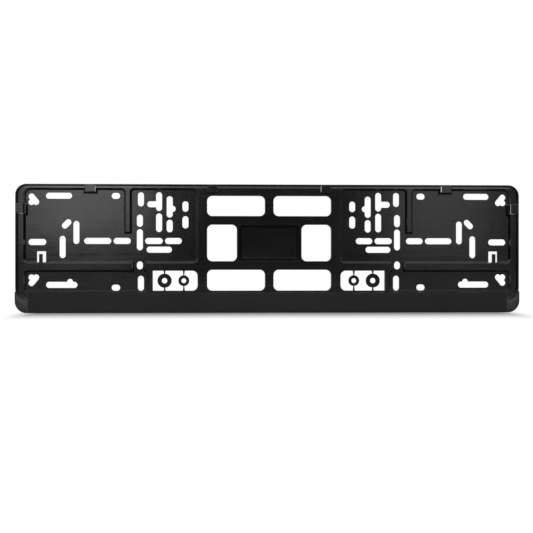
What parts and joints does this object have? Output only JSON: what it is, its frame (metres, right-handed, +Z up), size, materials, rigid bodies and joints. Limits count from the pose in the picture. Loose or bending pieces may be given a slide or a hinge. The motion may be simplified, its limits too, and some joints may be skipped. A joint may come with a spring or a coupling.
{
  "type": "number plate holder",
  "caption": "Black plastic number plate holder: a slotted, recessed base with plate lugs, open windows and break-off washers, and a matte strip that clips along the bottom.",
  "frame": {"origin": "middle of the flat back that lies against the car, half way up the whole outline", "axes": "+X to the right seen from the front, +Z up, +Y out of the back towards the car; the front faces -Y"},
  "size_m": [0.532, 0.0126, 0.135],
  "materials": {
    "base_plastic": "black moulded plastic, half gloss",
    "strip_plastic": "black moulded plastic with a fine matte grain"
  },
  "bodies": {
    "root": {"base_carrier": "base_plastic", "bottom_strip": "strip_plastic"}
  },
  "joints": []
}
